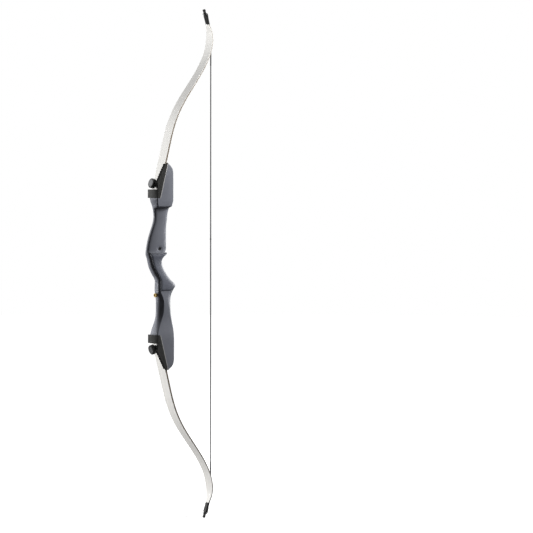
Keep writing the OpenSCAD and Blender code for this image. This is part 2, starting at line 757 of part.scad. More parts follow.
// How far the grip's edge lies behind the riser's target-side face
grip_inset = 7;
// The space behind the riser's target-side face that the grip fills
module grip_zone(gap = 0) {
    front = [for (z = grip_heights) [along(front_line, z) + grip_inset + gap, z]];
    slab(-big, big) polygon(concat(
        [[front[0][0], grip_bottom_z + gap]],
        [for (i = [1:len(front) - 2]) front[i]],
        [
            [front[len(front) - 1][0], lip_z - gap], [big, lip_z - gap],
            [big, grip_bottom_z + gap]
        ]
    ));
}
// The riser's neck inside the grip
module neck(gap = 0) {
    heights = grip_heights;
    n = len(heights) - 1;
    front = [for (z = heights) [along(front_line, z) + 2, z]];
    rear = [for (z = heights) [along(rear_line, min(z, lip_z - 9)) - grip_rear_t + gap, z]];
    slab(-neck_w / 2 - gap, neck_w / 2 + gap) polygon(concat(
        [[front[0][0], grip_bottom_z - 1]], front, [[front[n][0], lip_z + 1]],
        [[rear[n][0], lip_z + 1]], backwards(rear), [[rear[0][0], grip_bottom_z - 1]]
    ));
}
grip_screw_z = grip_rise - 42;
grip_screw_x = (along(front_line, grip_screw_z) + along(rear_line, grip_screw_z)) / 2 - 3;
grip_screw_len = along(far_line, grip_screw_z) + neck_w / 2 - 2;
// The grip screw's frame: its head faces the far side
module at_grip_screw() {
    translate([grip_screw_x, along(far_line, grip_screw_z) - 0.3, grip_screw_z])
        rotate([0, 0, -90]) children();
}
module riser() {
    color(riser_grey) placed() difference() {
        riser_body();
        difference() {
            grip_zone();
            neck();
        }
        pocket_room();
        lower() pocket_room();
        at_grip_screw() on_bolt(0, grip_screw_len, grip_screw_d + 2 * seat_fit);
        translate([plunger_x, 0, plunger_z]) rotate([90, 0, 0])
            cylinder(d = plunger_d + 2 * seat_fit, h = big, center = true);
        translate([stab_x, 0, stab_z]) {
            on_bolt(-stab_collar_h, stab_depth, stab_d + 2 * seat_fit);
            on_bolt(-stab_collar_h, collar_seat + seat_fit, stab_collar_d + 2 * seat_fit);
        }
        for (z = sight_heights) translate([sight_x, window_far - sight_len, z])
            rotate([-90, 0, 0]) cylinder(d = sight_d + 2 * seat_fit, h = big);
    }
}
module grip() {
    color([0.2, 0.215, 0.25]) placed() difference() {
        intersection() {
            riser_body();
            grip_zone(grip_fit);
        }
        neck(grip_fit);
        at_grip_screw() {
            on_bolt(0, grip_screw_len, grip_screw_d + 2 * seat_fit);
            translate([-seat_fit, 0, 0]) screw_head(grip_screw_d + 2 * seat_fit, 4);
        }
    }
}
module grip_screw() {
    color(steel) placed() at_grip_screw() screw(grip_screw_d, grip_screw_len - 1);
}

// Bushings

plunger_z = shelf_z + plunger_rise;
module plunger_bushing() {
    color([0.2, 0.18, 0.12]) placed() translate([plunger_x, 0, plunger_z])
        difference() {
            translate([0, window_far, 0]) rotate([90, 0, 0])
                cylinder(d = plunger_d, h = window_near + window_far);
            rotate([90, 0, 0]) cylinder(d = bush_bore_d, h = big, center = true);
        }
}
sight_heights = [shelf_z + sight_rise, shelf_z + sight_rise + sight_pitch];
sight_x = (along(front_line, sight_heights[0]) + window_rear) / 2;
module sight_bushings() {
    color(brass) placed() for (z = sight_heights)
        translate([sight_x, window_far - sight_len, z]) rotate([-90, 0, 0]) difference() {
            cylinder(d = sight_d, h = sight_len);
            translate([0, 0, 1.5]) cylinder(d = sight_bore_d, h = sight_len);
        }
}
stab_x = along(front_line, stab_z);
// Depth of the seat that levels the riser under the bushing's collar
collar_seat = 1;
module stabiliser_bushing() {
    color(brass) placed() translate([stab_x, 0, stab_z]) difference() {
        union() {
            on_bolt(-stab_collar_h, stab_depth - seat_fit, stab_d);
            on_bolt(-stab_collar_h, collar_seat, stab_collar_d);
        }
        on_bolt(-stab_collar_h - 1, stab_depth - 3, bush_bore_d);
    }
}

// String

string_r = string_d / 2;
loop_r = loop_d / 2;
// The string hangs where it just clears the limb's string side at its outermost point
upright_z = limb_middle[upright_i][1];
string_x = limb_middle[upright_i][0] + limb_thick(upright_s) / 2 + string_r + string_gap;
// Points round a tube
tube_sides = 10;
// Rings of a tube along a path, turned so that they never twist in a nearly flat path
function tube(path, r, closed = false) = [
    for (i = [0:len(path) - 1])
        let (
            n = len(path),
            before = path[closed ? (i + n - 1) % n : max(0, i - 1)],
            after = path[closed ? (i + 1) % n : min(n - 1, i + 1)],
            dir = (after - before) / norm(after - before),
            side = cross(dir, [1, 0, 0]),
            u = norm(side) < 0.2 ? [0, 1, 0] : side / norm(side),
            v = cross(dir, u)
        )
        [
            for (k = [0:tube_sides - 1])
                let (a = 360 * k / tube_sides)
                path[i] + r * (cos(a) * u + sin(a) * v)
        ]
];
// The string's place along the limb, from where it touches up to the sleeve
string_over_limb = [
    for (i = [upright_i:string_end_i])
        let (
            m = limb_middle[i],
            a = limb_turn(m[2]),
            lift = max(limb_thick(m[2]) / 2,
                sleeve_t / 2 * (m[2] - taper_s) / (taper_len - 10)) + string_r + string_gap
        )
        [m[0] + cos(a) * lift, 0, m[1] - sin(a) * lift]
];
module bowstring() {
    lower_end = [for (p = backwards(string_over_limb)) [p[0], p[1], -p[2]]];
    color(string_grey) placed() loft(tube(concat(lower_end, string_over_limb), string_r));
}
// The loop round the tip, in the tip's own frame
loop_top = sleeve_len + loop_r + 1.6;
loop_lift = sleeve_t / 2 + loop_r + string_gap;
loop_side = waist_w / 2 + loop_r + string_gap;
loop_route = [
    [loop_lift, 2.6, 8], [loop_lift, 3.9, 18], [loop_lift, loop_side, sleeve_len - 5],
    [loop_lift, loop_side, sleeve_len + 0.2],
    [sleeve_t / 2 + loop_r / 2, loop_side, sleeve_len + loop_r + 0.4],
    [0, loop_side, loop_top], [-sleeve_t / 2 - loop_r / 2, loop_side, loop_top + 0.2],
    [-loop_lift, loop_side - loop_r, loop_top + 0.3]
];
function other_side(path) = [for (p = backwards(path)) [p[0], -p[1], p[2]]];
module string_loop() {
    color(string_grey) at_tip() {
        loft(tube(concat(
            [[loop_lift, loop_r + 0.05, -part_len]], loop_route,
            [[-loop_lift, 0, loop_top + 0.3]],
            other_side(loop_route), [[loop_lift, -loop_r - 0.05, -part_len]]
        ), loop_r));
    }
}
module end_serving() {
    color([0.12, 0.12, 0.13]) translate([string_x, 0, upright_z - 8 - end_serving_len])
        serving_tube(end_serving_len);
}
module serving_tube(length) {
    difference() {
        cylinder(d = string_d + 2 * serving_t, h = length, $fn = 32);
        translate([0, 0, -1]) cylinder(d = string_d + 2 * seat_fit, h = length + 2, $fn = 32);
    }
}
serving_z = grip_rise + serving_top - serving_len;
module centre_serving() {
    color([0.4, 0.4, 0.41]) placed() translate([string_x, 0, serving_z]) serving_tube(serving_len);
}
module nocking_point() {
    color([0.4, 0.4, 0.41]) placed()
        translate([string_x, 0, plunger_z + nocking_rise - nocking_len / 2]) difference() {
            cylinder(d = nocking_d, h = nocking_len, $fn = 32);
            translate([0, 0, -1])
                cylinder(d = string_d + 2 * serving_t + 2 * seat_fit, h = nocking_len + 2, $fn = 32);
        }
}

riser();
grip();
grip_screw();
plunger_bushing();
sight_bushings();
stabiliser_bushing();
placed() limb_pocket();  // upper_limb_pocket
placed() lower() limb_pocket();  // lower_limb_pocket
placed() pocket_screws();  // upper_pocket_screws
placed() lower() pocket_screws();  // lower_pocket_screws
placed() bolt_insert();  // upper_bolt_insert
placed() lower() bolt_insert();  // lower_bolt_insert
placed() locating_pin();  // upper_locating_pin
placed() lower() locating_pin();  // lower_locating_pin
placed() limb_core();  // upper_limb_core
placed() lower() limb_core();  // lower_limb_core
placed() limb_back_glass();  // upper_limb_back_glass
placed() lower() limb_back_glass();  // lower_limb_back_glass
placed() limb_belly_glass();  // upper_limb_belly_glass
placed() lower() limb_belly_glass();  // lower_limb_belly_glass
placed() limb_tip();  // upper_limb_tip
placed() lower() limb_tip();  // lower_limb_tip
placed() limb_bolt();  // upper_limb_bolt
placed() lower() limb_bolt();  // lower_limb_bolt
placed() knob();  // upper_knob
placed() lower() knob();  // lower_knob
placed() knob_cap();  // upper_knob_cap
placed() lower() knob_cap();  // lower_knob_cap
placed() bolt_washer();  // upper_bolt_washer
placed() lower() bolt_washer();  // lower_bolt_washer
bowstring();
placed() string_loop();  // upper_string_loop
placed() lower() string_loop();  // lower_string_loop
placed() end_serving();  // upper_end_serving
placed() lower() end_serving();  // lower_end_serving
centre_serving();
nocking_point();
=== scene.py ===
"""A strung takedown recurve bow: its finishes, its wound string and the studio it stands in."""

import json
import logging
import math
from dataclasses import dataclass, field
from enum import Enum

import bpy
from bpy.types import NodeSocket, Object
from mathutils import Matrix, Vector


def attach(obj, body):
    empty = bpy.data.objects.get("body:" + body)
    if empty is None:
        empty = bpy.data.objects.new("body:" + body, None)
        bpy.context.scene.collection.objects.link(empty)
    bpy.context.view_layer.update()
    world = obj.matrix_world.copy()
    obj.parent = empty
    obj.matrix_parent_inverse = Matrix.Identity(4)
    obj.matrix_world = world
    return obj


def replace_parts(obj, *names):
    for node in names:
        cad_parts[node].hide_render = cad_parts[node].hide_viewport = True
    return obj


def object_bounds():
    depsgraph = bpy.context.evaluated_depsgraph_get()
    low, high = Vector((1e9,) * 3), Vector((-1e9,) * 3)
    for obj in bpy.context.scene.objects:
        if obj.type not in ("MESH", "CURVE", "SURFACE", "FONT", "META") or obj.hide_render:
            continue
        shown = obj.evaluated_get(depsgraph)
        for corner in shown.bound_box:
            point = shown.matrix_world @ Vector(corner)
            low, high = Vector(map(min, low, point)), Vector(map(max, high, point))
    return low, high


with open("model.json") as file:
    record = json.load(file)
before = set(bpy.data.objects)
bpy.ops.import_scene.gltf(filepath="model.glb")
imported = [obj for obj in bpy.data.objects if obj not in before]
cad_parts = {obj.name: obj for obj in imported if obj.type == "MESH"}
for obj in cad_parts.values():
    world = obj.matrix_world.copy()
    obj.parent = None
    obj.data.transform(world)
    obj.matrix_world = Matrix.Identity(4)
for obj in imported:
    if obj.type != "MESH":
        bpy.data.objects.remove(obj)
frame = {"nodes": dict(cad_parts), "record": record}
CAD_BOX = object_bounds()

logging.basicConfig(level=logging.INFO, format="%(message)s")
log = logging.getLogger("bow")

MM = 0.001
BOW_BODY = "bow"
# Height of the grip's deepest point, the origin, above the middle of the bow
GRIP_RISE = 17.0
# Place of the upper bolt on the limb's string side, and the limb's lean from upright there
LIMB_SEAT = (-8.9, 249.2)
LIMB_LEAN = 14.5

Colour = tuple[float, float, float]
Direction = tuple[float, float, float]
Span = tuple[float, float]


class End(Enum):
    """The two ends of the bow, with the sign of their heights."""

    UPPER = 1
    LOWER = -1

    @property
    def label(self) -> str:
        """First word of the names of this end's pieces."""
        return self.name.lower()


# Effects that the finishes draw on


class Nodes:
    """Short ways to add and join nodes, for a tree of any kind."""

    def __init__(self, tree: bpy.types.NodeTree) -> None:
        """Keeps the tree that the nodes go into."""
        self.tree = tree

    def add(self, kind: str, *values: object, **settings: object) -> bpy.types.Node:
        """Adds a node and fills it.

        Args:
            kind: The node's type without its ShaderNode prefix.
            values: What its first inputs take, each a socket or a plain value.
            settings: Its own properties, and inputs by name, with underscores for spaces.

        Returns:
            The new node.
        """
        node = self.tree.nodes.new("ShaderNode" + kind)
        for name, value in settings.items():
            label = name.replace("_", " ")
            if label in node.inputs:
                self.feed(node.inputs[label], value)
            else:
                setattr(node, name, value)
        for entry, value in zip(node.inputs, values):
            self.feed(entry, value)
        return node

    def link(self, source: NodeSocket, target: NodeSocket) -> None:
        """Joins two sockets."""
        self.tree.links.new(source, target)

    def feed(self, target: NodeSocket, value: object) -> None:
        """Fills an input.

        Args:
            target: The input.
            value: A socket to join to it, or its plain value.
        """
        if isinstance(value, NodeSocket):
            self.link(value, target)
        else:
            target.default_value = value

    def math(self, operation: str, *values: object) -> NodeSocket:
        """Returns the result of one sum on sockets and numbers."""
        return self.add("Math", *values, operation=operation).outputs[0]

    def vector(self, *values: object) -> NodeSocket:
        """Returns the vector that three sockets or numbers make."""
        return self.add("CombineXYZ", *values).outputs[0]

    def parts(self, vector: NodeSocket) -> bpy.types.bpy_prop_collection:
        """Returns the X, Y and Z of a vector, by name."""
        return self.add("SeparateXYZ", vector).outputs

    def dot(self, first: NodeSocket, second: object) -> NodeSocket:
        """Returns the dot product of a vector socket with a socket or a plain vector."""
        return self.add("VectorMath", first, second, operation="DOT_PRODUCT").outputs["Value"]

    def spread(self, value: NodeSocket, low: float, high: float,
               start: float = 0.3, end: float = 0.7, smooth: bool = False) -> NodeSocket:
        """Maps a value to a range.

        Args:
            value: The value, such as a noise.
            low: Result at the start.
            high: Result at the end.
            start: Value that gives the low result.
            end: Value that gives the high result.
            smooth: Whether the result eases in and out.

        Returns:
            The mapped value.
        """
        easing = "SMOOTHSTEP" if smooth else "LINEAR"
        return self.add("MapRange", value, start, end, low, high,
                        interpolation_type=easing).outputs[0]

    def noise(self, place: NodeSocket, scale: object, detail: float = 2.0) -> NodeSocket:
        """Returns a noise over a place, at a scale that is a socket or a number."""
        return self.add("TexNoise", Vector=place, Scale=scale, Detail=detail).outputs[0]

    def place(self) -> NodeSocket:
        """Returns the point's place on the bow, in metres."""
        return self.add("TexCoord").outputs["Object"]

    def seen(self) -> NodeSocket:
        """Returns 1 where the camera looks, also through glass, and otherwise 0."""
        path = self.add("LightPath").outputs
        return self.math("MAXIMUM", path["Is Camera Ray"], path["Is Transmission Ray"])


class Effect(Nodes):
    """A shader node group that puts out masks and values for the finishes."""

    title = "effect"

    def __init__(self) -> None:
        """Starts an empty group."""
        super().__init__(bpy.data.node_groups.new(self.title, "ShaderNodeTree"))
        self.entry = self.tree.nodes.new("NodeGroupInput")
        self.exit = self.tree.nodes.new("NodeGroupOutput")

    def takes(self, **values: float) -> list[NodeSocket]:
        """Adds all the numbers that a finish may set for itself.

        Args:
            values: Their names, with underscores for spaces, and what they are if it doesn't.

        Returns:
            The numbers in that order, for the group's own nodes.
        """
        names = [name.replace("_", " ") for name in values]
        for name, value in zip(names, values.values()):
            socket = self.tree.interface.new_socket(
                name, in_out="INPUT", socket_type="NodeSocketFloat")
            socket.default_value = value
        return [self.entry.outputs[name] for name in names]

    def gives(self, **values: NodeSocket) -> None:
        """Adds the group's outputs.

        Args:
            values: What each puts out, a number or a vector, by its name.
        """
        for name, value in values.items():
            kind = "NodeSocketVector" if value.type == "VECTOR" else "NodeSocketFloat"
            self.tree.interface.new_socket(name, in_out="OUTPUT", socket_type=kind)
            self.link(value, self.exit.inputs[name])


class MouldedGrain(Effect):
    """The fine leathery grain and slow mottling of a moulded face."""

    title = "moulded grain"
    # Height of the grain's pits against that of its noise
    pit_share = 0.5
    mottle_detail = 3.0

    def __init__(self) -> None:
        """Builds the grain from two sizes of noise."""
        super().__init__()
        grain_scale, mottle_scale, stretch = self.takes(
            Grain_Scale=900.0, Mottle_Scale=14.0, Mottle_Stretch=0.4)
        place = self.place()
        pits = self.add("TexVoronoi", feature="SMOOTH_F1", Vector=place, Scale=grain_scale)
        height = self.math("ADD", self.noise(place, grain_scale),
                           self.math("MULTIPLY", pits.outputs[0], self.pit_share))
        stretched = self.add("VectorMath", place, self.vector(1.0, 1.0, stretch),
                             operation="MULTIPLY").outputs[0]
        mottle = self.noise(stretched, mottle_scale, self.mottle_detail)
        self.gives(Height=height, Mottle=mottle)


class EdgeWear(Effect):
    """A mask of the corners that hands and bags rub, broken up by noise."""

    title = "edge wear"
    # How nearly the rounded normal meets the true one where wear starts, and where it is full
    wear_start = 0.995
    wear_full = 0.85
    patch_detail = 4.0

    def __init__(self) -> None:
        """Finds corners by setting a rounded normal against the true one."""
        super().__init__()
        radius, break_up = self.takes(Radius=1.0 * MM, Break_Up=120.0)
        soft = self.add("Bevel", radius, samples=6).outputs[0]
        turn = self.dot(soft, self.add("NewGeometry").outputs["Normal"])
        corner = self.spread(turn, 0.0, 1.0, self.wear_start, self.wear_full)
        patches = self.spread(self.noise(self.place(), break_up, self.patch_detail), 0.0, 1.0)
        self.gives(Mask=self.math("MULTIPLY", corner, patches), Normal=soft)


class SoftEdge(Effect):
    """A normal that rounds corners, more widely over one stretch of the bow's height."""

    title = "soft edge"
    # Height over which the wide rounding fades
    fade = 4.0 * MM

    def __init__(self) -> None:
        """Widens the rounding's radius between two heights."""
        super().__init__()
        narrow, wide, middle, half_height = self.takes(
            Radius=1.2 * MM, Wide_Radius=8.0 * MM, Middle=0.0, Half_Height=1.0)
        height = self.parts(self.place())["Z"]
        away = self.math("ABSOLUTE", self.math("SUBTRACT", height, middle))
        past = self.math("SUBTRACT", away, half_height)
        inside = self.spread(past, 1.0, 0.0, 0.0, self.fade)
        more = self.math("MULTIPLY", self.math("SUBTRACT", wide, narrow), inside)
        soft = self.add("Bevel", self.math("ADD", narrow, more), samples=8)
        self.gives(Normal=soft.outputs[0])


class Streaks(Effect):
    """Fine lines that run the length of the limb, as glass fibres and wood pores do."""

    title = "streaks"
    # Scale of the broad lines against that of the fine ones
    broad_share = 0.12

    def __init__(self) -> None:
        """Builds the lines from noise that is stretched along the limb."""
        super().__init__()
        scales = self.takes(Across=700.0, Along=6.0)
        parts = self.parts(self.place())
        lines = []
        for share in (1.0, self.broad_share):
            across, along = [self.math("MULTIPLY", scale, share) for scale in scales]
            stretched = self.vector(self.math("MULTIPLY", parts["X"], along),
                                    self.math("MULTIPLY", parts["Y"], across),
                                    self.math("MULTIPLY", parts["Z"], along))
            lines.append(self.noise(stretched, 1.0))
        fine, broad = lines
        self.gives(Fine=fine, Broad=broad)


class PocketRimHighlight(Effect):
    """A mask of a painted highlight on the riser's thin rim along both limb pockets."""

    title = "pocket rim"
    # Height at which the pockets start, on either side of the bow's middle
    start_z = 210.0
    # Share of the painted highlight's width past which it fades
    full_share = 0.6

    def __init__(self) -> None:
        """Measures how far a point lies behind the seat of the nearer pocket."""
        super().__init__()
        start, width = self.takes(Start=0.6 * MM, Width=2.4 * MM)
        seat_x, seat_z = LIMB_SEAT
        lean = math.radians(LIMB_LEAN)
        parts = self.parts(self.place())
        height = self.math("ABSOLUTE", self.math("ADD", parts["Z"], GRIP_RISE * MM))
        across = self.math("MULTIPLY", self.math("SUBTRACT", parts["X"], seat_x * MM),
                           math.cos(lean))
        up = self.math("MULTIPLY", self.math("SUBTRACT", height, seat_z * MM), math.sin(lean))
        depth = self.math("SUBTRACT", self.math("SUBTRACT", across, up), start)
        near = self.spread(self.math("DIVIDE", depth, width), 1.0, 0.0, self.full_share, 1.0)
        beside = self.math("GREATER_THAN", height, self.start_z * MM)
        self.gives(Mask=self.math("MULTIPLY", near, beside))


@dataclass
class Effects:
    """The shared effects, each built once."""

    grain: MouldedGrain = field(default_factory=MouldedGrain)
    wear: EdgeWear = field(default_factory=EdgeWear)
    soft: SoftEdge = field(default_factory=SoftEdge)
    streaks: Streaks = field(default_factory=Streaks)
    # Mask of the painted highlight along the pocket rims
    rim: PocketRimHighlight = field(default_factory=PocketRimHighlight)


# Finishes


class Material(Nodes):
    """One material under construction, with its shader."""

    def __init__(self, name: str, colour: Colour, roughness: float) -> None:
        """Starts a material with a plain colour.

        Args:
            name: The finish's slot in the record.
            colour: Base colour, linear.
            roughness: Roughness where nothing changes it.
        """
        self.data = bpy.data.materials.new(name)
        self.data.use_nodes = True
        super().__init__(self.data.node_tree)
        self.shader = self.tree.nodes["Principled BSDF"]
        self.shader.inputs["Base Color"].default_value = (*colour, 1.0)
        self.set("Roughness", roughness)

    def set(self, name: str, value: float) -> None:
        """Sets one of the shader's own numbers."""
        self.shader.inputs[name].default_value = value

    def tint(self, colour: NodeSocket) -> None:
        """Gives the surface a colour that changes over it."""
        self.link(colour, self.shader.inputs["Base Color"])

    def roughen(self, mask: NodeSocket, middle: float, steps: Span) -> None:
        """Runs the roughness with a noise, from one step off its middle to the other."""
        low, high = (middle + step for step in steps)
        self.link(self.spread(mask, low, high), self.shader.inputs["Roughness"])

    def effect(self, shared: Effect, **values: float) -> bpy.types.bpy_prop_collection:
        """Places a shared effect with this finish's values, and returns its outputs."""
        return self.add("Group", node_tree=shared.tree, **values).outputs

    def blend(self, mask: NodeSocket, low: object, high: Colour) -> NodeSocket:
        """Runs from one colour to another with a mask.

        Args:
            mask: Value from 0 to 1.
            low: Colour at 0, or a socket that gives it.
            high: Colour at 1.

        Returns:
            The mixed colour.
        """
        mix = self.add("Mix", data_type="RGBA")
        first, second = [socket for socket in mix.inputs if socket.type == "RGBA"]
        self.feed(first, low if isinstance(low, NodeSocket) else (*low, 1.0))
        second.default_value = (*high, 1.0)
        self.link(mask, mix.inputs["Factor"])
        return next(socket for socket in mix.outputs if socket.type == "RGBA")

    def mottle(self, noise: NodeSocket, colour: Colour, shares: Span) -> NodeSocket:
        """Returns a colour that a noise runs from one share of itself to another."""
        dark, light = [tuple(part * share for part in colour) for share in shares]
        return self.blend(self.spread(noise, 0.0, 1.0), dark, light)

    def bump(self, height: NodeSocket, depth: float,
             normal: NodeSocket | None = None) -> None:
        """Raises the surface by a height.

        Args:
            height: Value from 0 to 1.
            depth: How high 1 stands, in metres.
            normal: A rounded normal that the bump starts from.
        """
        node = self.add("Bump", Distance=depth, Height=height)
        if normal is not None:
            self.link(normal, node.inputs["Normal"])
        self.link(node.outputs[0], self.shader.inputs["Normal"])


@dataclass(frozen=True)
class WideRound:
    """A wider rounding over one stretch of the bow's height, all in metres."""

    radius: float
    middle: float
    half_height: float


@dataclass(frozen=True)
class Moulding:
    """A moulded plastic with fine grain, slow mottling and rubbed corners."""

    name: str
    colour: Colour
    worn: Colour
    metallic: float = 0.0
    specular: float = 0.5
    roughness: float = 0.4
    rough_steps: Span = (-0.04, 0.05)
    mottle_shares: Span = (0.86, 1.16)
    mottle_scale: float = 14.0
    mottle_stretch: float = 0.4
    grain_scale: float = 900.0
    grain_depth: float = 0.03 * MM
    edge: float = 1.2 * MM
    # Colour of a painted highlight along the riser's rim beside the limb pockets
    rim: Colour | None = None
    wide: WideRound | None = None

    def build(self, effects: Effects) -> bpy.types.Material:
        """Builds the material.

        Args:
            effects: The shared effects.

        Returns:
            The finished material.
        """
        made = Material(self.name, self.colour, self.roughness)
        made.set("Metallic", self.metallic)
        made.set("Specular IOR Level", self.specular)
        grain = made.effect(effects.grain, Grain_Scale=self.grain_scale,
                            Mottle_Scale=self.mottle_scale, Mottle_Stretch=self.mottle_stretch)
        wear = made.effect(effects.wear, Radius=self.edge)
        body = made.mottle(grain["Mottle"], self.colour, self.mottle_shares)
        # Lightens the rim along the pocket seams: a painted highlight
        if self.rim is not None:
            body = made.blend(made.effect(effects.rim)["Mask"], body, self.rim)
        made.tint(made.blend(wear["Mask"], body, self.worn))
        made.roughen(grain["Mottle"], self.roughness, self.rough_steps)
        rounded = wear
        if self.wide is not None:
            rounded = made.effect(effects.soft, Radius=self.edge, Wide_Radius=self.wide.radius,
                                  Middle=self.wide.middle, Half_Height=self.wide.half_height)
        made.bump(grain["Height"], self.grain_depth, rounded["Normal"])
        return made.data


@dataclass(frozen=True)
class Metal(Moulding):
    """A turned, brushed or blackened metal, built up as a moulding is."""

    metallic: float = 1.0
    roughness: float = 0.3
    rough_steps: Span = (-0.08, 0.08)
    mottle_shares: Span = (0.8, 1.0)
    mottle_scale: float = 200.0
    mottle_stretch: float = 1.0
    grain_scale: float = 2500.0
    grain_depth: float = 0.004 * MM
    edge: float = 0.4 * MM


@dataclass(frozen=True)
class Laminate:
    """A clear-coated layer of the limb: glass cloth or wood."""

    name: str
    light: Colour
    dark: Colour
    across: float
    along: float
    roughness: float = 0.3
    rough_steps: Span = (-0.05, 0.08)
    coat: float = 0.4
    coat_roughness: float = 0.12
    # How much of the dark colour the fine and the broad lines bring
    fine_share: float = 0.4
    broad_share: float = 0.6
    line_depth: float = 0.01 * MM

    def build(self, effects: Effects) -> bpy.types.Material:
        """Builds the material.

        Args:
            effects: The shared effects.

        Returns:
            The finished material.
        """
        made = Material(self.name, self.light, self.roughness)
        lines = made.effect(effects.streaks, Across=self.across, Along=self.along)
        both = made.math("MULTIPLY_ADD", made.spread(lines["Fine"], 0.0, 1.0), self.fine_share,
                         made.spread(lines["Broad"], 0.0, self.broad_share))
        both.node.use_clamp = True
        made.tint(made.blend(both, self.light, self.dark))
        made.roughen(lines["Fine"], self.roughness, self.rough_steps)
        made.set("Coat Weight", self.coat)
        made.set("Coat Roughness", self.coat_roughness)
        made.bump(lines["Fine"], self.line_depth)
        return made.data


@dataclass(frozen=True)
class Fibre:
    """Waxed fibre of the string and the thread that is served over it."""

    name: str
    colour: Colour
    pale: Colour
    roughness: float = 0.6
    specular: float = 0.2
    mottle_scale: float = 500.0
    mottle_stretch: float = 0.2
    grain_scale: float = 6000.0
    grain_depth: float = 0.04 * MM

    def build(self, effects: Effects) -> bpy.types.Material:
        """Builds the material.

        Args:
            effects: The shared effects.

        Returns:
            The finished material.
        """
        made = Material(self.name, self.colour, self.roughness)
        grain = made.effect(effects.grain, Grain_Scale=self.grain_scale,
                            Mottle_Scale=self.mottle_scale, Mottle_Stretch=self.mottle_stretch)
        made.tint(made.blend(made.spread(grain["Mottle"], 0.0, 1.0), self.colour, self.pale))
        made.set("Specular IOR Level", self.specular)
        made.bump(grain["Height"], self.grain_depth)
        return made.data


FINISHES = (
    # The riser's rim colour is a painted highlight along the pocket seams
    Moulding("riser_moulding", (0.115, 0.12, 0.139), (0.165, 0.173, 0.195), roughness=0.33,
             specular=0.55, rim=(0.30, 0.295, 0.29),
             wide=WideRound(16.0 * MM, middle=0.092, half_height=0.074)),
    Moulding("grip_moulding", (0.077, 0.082, 0.1), (0.12, 0.13, 0.15), roughness=0.36,
             grain_scale=700.0, grain_depth=0.05 * MM,
             wide=WideRound(13.0 * MM, middle=0.0, half_height=1.0)),
    Moulding("pocket_moulding", (0.013, 0.013, 0.012), (0.035, 0.035, 0.033), roughness=0.42,
             grain_scale=1100.0, grain_depth=0.04 * MM, specular=0.7),
    Moulding("tip_moulding", (0.004, 0.004, 0.004), (0.015, 0.015, 0.015), grain_scale=1200.0,
             grain_depth=0.02 * MM, edge=0.6 * MM),
    Laminate("limb_glass", (0.66, 0.65, 0.63), (0.60, 0.59, 0.565), across=700.0, along=3.0),
    Laminate("limb_wood", (0.16, 0.132, 0.10), (0.115, 0.09, 0.065), across=1500.0, along=20.0,
             roughness=0.4, coat=0.3),
    Metal("cap_metal", (0.17, 0.173, 0.178), (0.32, 0.32, 0.33), roughness=0.36, metallic=0.7),
    Metal("steel", (0.56, 0.57, 0.58), (0.75, 0.75, 0.76), roughness=0.28),
    Metal("dark_metal", (0.02, 0.02, 0.02), (0.1, 0.1, 0.1), roughness=0.45, metallic=0.6),
    Metal("brass", (0.72, 0.5, 0.18), (0.9, 0.74, 0.4), roughness=0.14),
    Fibre("string_fibre", (0.006, 0.006, 0.006), (0.02, 0.02, 0.021)),
    Fibre("serving_thread", (0.07, 0.07, 0.072), (0.15, 0.15, 0.154), roughness=0.5),
)


class Paint:
    """Every finish of the bow, by its slot's name."""

    def __init__(self) -> None:
        """Builds the shared effects and all finishes."""
        effects = Effects()
        self.by_slot = {finish.name: finish.build(effects) for finish in FINISHES}

    def dress(self, node: str, slot: str) -> None:
        """Gives a CAD node its finish.

        Args:
            node: The CAD node's name.
            slot: The finish's slot.
        """
        mesh = frame["nodes"][node].data
        mesh.materials.clear()
        mesh.materials.append(self.by_slot[slot])


class Smoothing(Nodes):
    """A modifier that joins a CAD mesh's split corners and shades it smooth between edges."""

    def __init__(self, weld_gap: float = 0.002 * MM, sharp_angle: float = 37.0,
                 soft_angle: float = 50.0, soft_stretch: Span = (0.0105, 0.164)) -> None:
        """Builds the modifier's node group.

        Args:
            weld_gap: Greatest distance between corners that are joined, in metres.
            sharp_angle: Angle in degrees from which an edge stays sharp.
            soft_angle: The same angle beside the sight window, whose face is slightly round.
            soft_stretch: Lowest and highest place of that face, in metres.
        """
        super().__init__(bpy.data.node_groups.new("smoothing", "GeometryNodeTree"))
        for way in ("INPUT", "OUTPUT"):
            self.tree.interface.new_socket("Geometry", in_out=way,
                                           socket_type="NodeSocketGeometry")
        new = self.tree.nodes.new
        weld = new("GeometryNodeMergeByDistance")
        weld.inputs["Distance"].default_value = weld_gap
        faces, edges = new("GeometryNodeSetShadeSmooth"), new("GeometryNodeSetShadeSmooth")
        faces.domain, edges.domain = "FACE", "EDGE"
        self.link(new("NodeGroupInput").outputs[0], weld.inputs["Geometry"])
        self.link(weld.outputs[0], faces.inputs["Geometry"])
        self.link(faces.outputs[0], edges.inputs["Geometry"])
        angle = new("GeometryNodeInputMeshEdgeAngle").outputs["Unsigned Angle"]
        height = self.parts(new("GeometryNodeInputPosition").outputs[0])["Z"]
        low, high = soft_stretch
        beside = self.math("COMPARE", height, (low + high) / 2, (high - low) / 2)
        limit = self.spread(beside, math.radians(sharp_angle), math.radians(soft_angle), 0.0, 1.0)
        self.link(self.math("LESS_THAN", angle, limit), edges.inputs["Shade Smooth"])
        self.link(edges.outputs[0], new("NodeGroupOutput").inputs[0])

    def on(self, piece: Object) -> None:
        """Puts the modifier on a piece."""
        piece.modifiers.new("smoothing", "NODES").node_group = self.tree


# String


